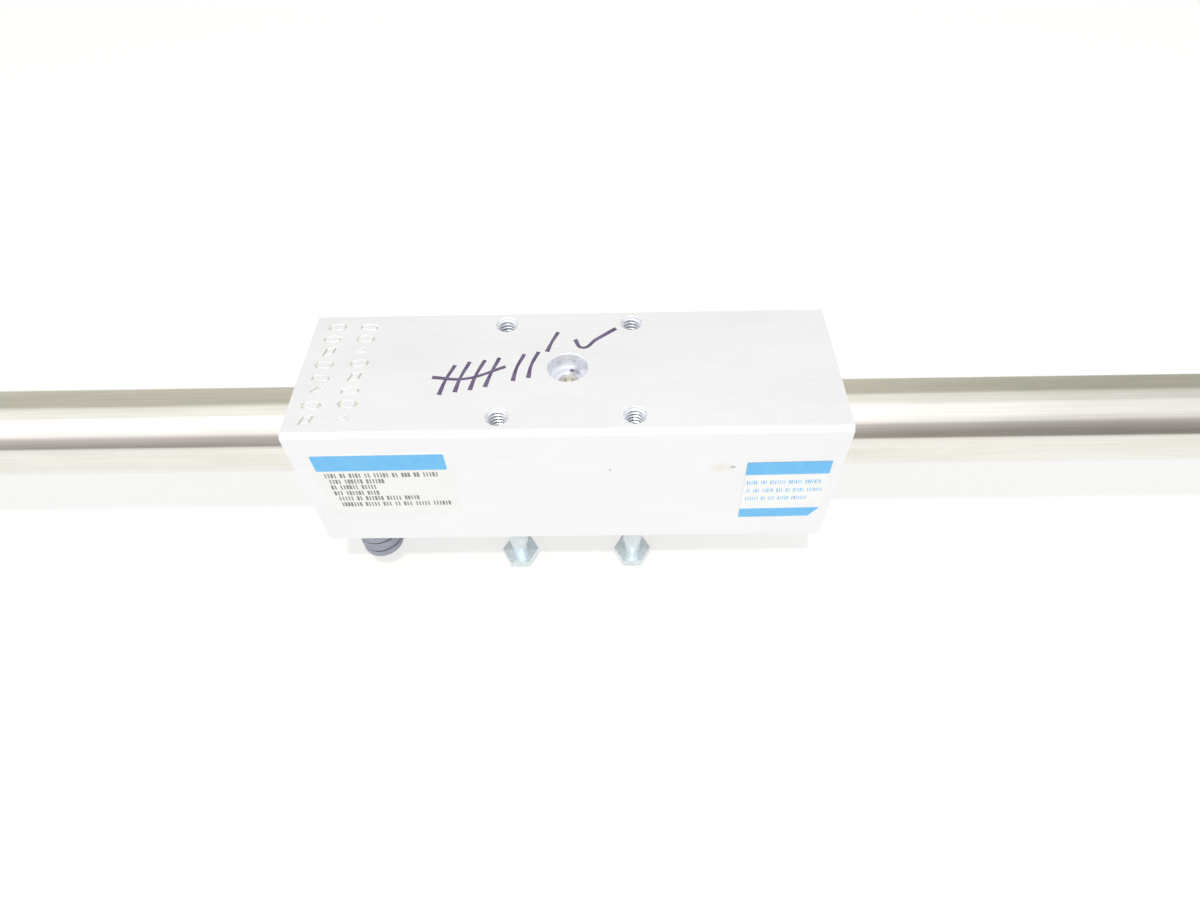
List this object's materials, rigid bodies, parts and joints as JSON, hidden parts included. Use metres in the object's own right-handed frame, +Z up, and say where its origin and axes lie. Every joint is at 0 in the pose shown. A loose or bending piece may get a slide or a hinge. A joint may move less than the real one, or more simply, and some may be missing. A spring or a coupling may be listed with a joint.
{
  "type": "rodless pneumatic cylinder",
  "caption": "Long smooth air cylinder tube with end caps and a square carriage that rides along it, dragged by magnets on the piston inside.",
  "frame": {"origin": "midway between the two ends, level with the bolt heads that the cylinder stands on", "axes": "+X along the tube, +Z up, out of the carriage's mounting face"},
  "size_m": [1.6366, 0.053, 0.074],
  "materials": {
    "drawn_stainless": "drawn and polished lengthwise",
    "satin_aluminium": "satin, clear anodised",
    "milled_aluminium": "machined",
    "zinc_plated_steel": "bright zinc plate, slightly blue",
    "turned_steel": "turned",
    "spring_steel": "phosphated, dark",
    "yoke_steel": "ground",
    "nickel_plated_magnet": "nickel plated",
    "turned_brass": "turned",
    "moulded_rubber": "moulded, matt",
    "nitrile_rubber": "moulded, smooth",
    "polyurethane": "cast, translucent",
    "bearing_plastic": "machined",
    "black_plastic": "moulded",
    "filled_plastic": "bronze filled",
    "label_film": "printed film",
    "marker_ink": "dried felt pen ink"
  },
  "bodies": {
    "barrel": {"barrel_tube": "drawn_stainless", "left_end_cap": "milled_aluminium", "right_end_cap": "milled_aluminium", "left_tube_seal": "nitrile_rubber", "right_tube_seal": "nitrile_rubber", "left_cushion_seal": "polyurethane", "right_cushion_seal": "polyurethane", "left_bumper_ring": "nitrile_rubber", "right_bumper_ring": "nitrile_rubber", "left_screw_keeper": "spring_steel", "right_screw_keeper": "spring_steel", "left_mounting_nut": "zinc_plated_steel", "right_mounting_nut": "zinc_plated_steel"},
    "piston": {"piston_shaft": "turned_steel", "inner_magnet_1": "nickel_plated_magnet", "inner_magnet_2": "nickel_plated_magnet", "inner_magnet_3": "nickel_plated_magnet", "inner_magnet_4": "nickel_plated_magnet", "inner_yoke_1": "yoke_steel", "inner_yoke_2": "yoke_steel", "inner_yoke_3": "yoke_steel", "inner_yoke_4": "yoke_steel", "inner_yoke_5": "yoke_steel", "left_piston_head": "milled_aluminium", "right_piston_head": "milled_aluminium", "left_piston_seal": "polyurethane", "right_piston_seal": "polyurethane", "left_wear_ring": "filled_plastic", "right_wear_ring": "filled_plastic", "left_cushion_spear": "milled_aluminium", "right_cushion_spear": "milled_aluminium"},
    "carriage": {"carriage_block": "satin_aluminium", "outer_magnet_1": "nickel_plated_magnet", "outer_magnet_2": "nickel_plated_magnet", "outer_magnet_3": "nickel_plated_magnet", "outer_magnet_4": "nickel_plated_magnet", "outer_yoke_1": "yoke_steel", "outer_yoke_2": "yoke_steel", "outer_yoke_3": "yoke_steel", "outer_yoke_4": "yoke_steel", "outer_yoke_5": "yoke_steel", "left_spacer": "milled_aluminium", "right_spacer": "milled_aluminium", "left_bush": "bearing_plastic", "right_bush": "bearing_plastic", "left_end_ring": "black_plastic", "right_end_ring": "black_plastic", "left_wiper": "nitrile_rubber", "right_wiper": "nitrile_rubber", "left_circlip": "spring_steel", "right_circlip": "spring_steel", "yoke_screw": "turned_steel", "carriage_bolts": "zinc_plated_steel", "rubber_buffer": "moulded_rubber"},
    "left_screw_ring": {"left_cushion_screw_seal": "nitrile_rubber"},
    "left_screw": {"left_cushion_screw": "turned_brass"},
    "right_screw_ring": {"right_cushion_screw_seal": "nitrile_rubber"},
    "right_screw": {"right_cushion_screw": "turned_brass"}
  },
  "joints": [
    {"name": "piston_travel", "type": "slide", "parent": "barrel", "child": "piston", "axis": [1, 0, 0], "range_m": [-0.67625, 0.67625]},
    {"name": "carriage_turn", "type": "hinge", "parent": "piston", "child": "carriage", "pos_m": [0, 0, 0.04747], "axis": [1, 0, 0], "continuous": true},
    {"name": "left_screw_advance", "type": "slide", "parent": "barrel", "child": "left_screw_ring", "axis": [0, -1, 0], "range_m": [0, 0.0015]},
    {"name": "left_screw_turn", "type": "hinge", "parent": "left_screw_ring", "child": "left_screw", "pos_m": [-0.78025, -0.02, 0.04747], "axis": [0, -1, 0], "range_deg": [0, 1080]},
    {"name": "right_screw_advance", "type": "slide", "parent": "barrel", "child": "right_screw_ring", "axis": [0, -1, 0], "range_m": [0, 0.0015]},
    {"name": "right_screw_turn", "type": "hinge", "parent": "right_screw_ring", "child": "right_screw", "pos_m": [0.78025, -0.02, 0.04747], "axis": [0, -1, 0], "range_deg": [0, 1080]}
  ],
  "couplings": [
    {"joint": "left_screw_turn", "follows": "left_screw_advance", "rad_per_m": 12566},
    {"joint": "right_screw_turn", "follows": "right_screw_advance", "rad_per_m": 12566}
  ]
}
